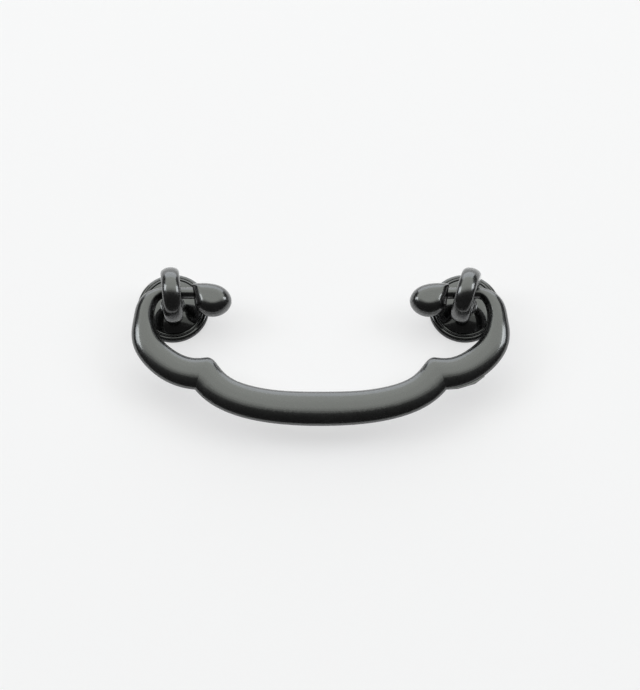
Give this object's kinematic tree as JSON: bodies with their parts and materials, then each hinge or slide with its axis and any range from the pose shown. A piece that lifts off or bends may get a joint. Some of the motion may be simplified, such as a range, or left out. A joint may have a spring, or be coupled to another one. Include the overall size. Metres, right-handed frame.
{
  "type": "drawer pull",
  "caption": "Bail drawer pull: a cusped drop handle that swings in ring-eyed posts, each on a stepped round rosette, with flattened drop finials on its ends.",
  "frame": {"origin": "midway between the two screw holes, on the plane of the rosettes' backs, which is the face of the drawer front", "axes": "+Z out of the drawer front, +X along the line of the two posts, and the grip of the bail towards -Y"},
  "size_m": [0.0977, 0.0449, 0.0173],
  "materials": {
    "black_paint": "satin black stove paint on die-cast metal",
    "polished_black": "glossy black stove paint on die-cast metal"
  },
  "bodies": {
    "posts": {"left_post": "black_paint", "right_post": "black_paint", "left_rosette": "polished_black", "right_rosette": "polished_black"},
    "handle": {"bail": "black_paint", "left_finial": "black_paint", "right_finial": "black_paint"}
  },
  "joints": [
    {"name": "bail_swing", "type": "hinge", "parent": "posts", "child": "handle", "pos_m": [0, 0.00085, 0.0092], "axis": [-1, 0, 0], "range_deg": [-12.5, 192]}
  ]
}
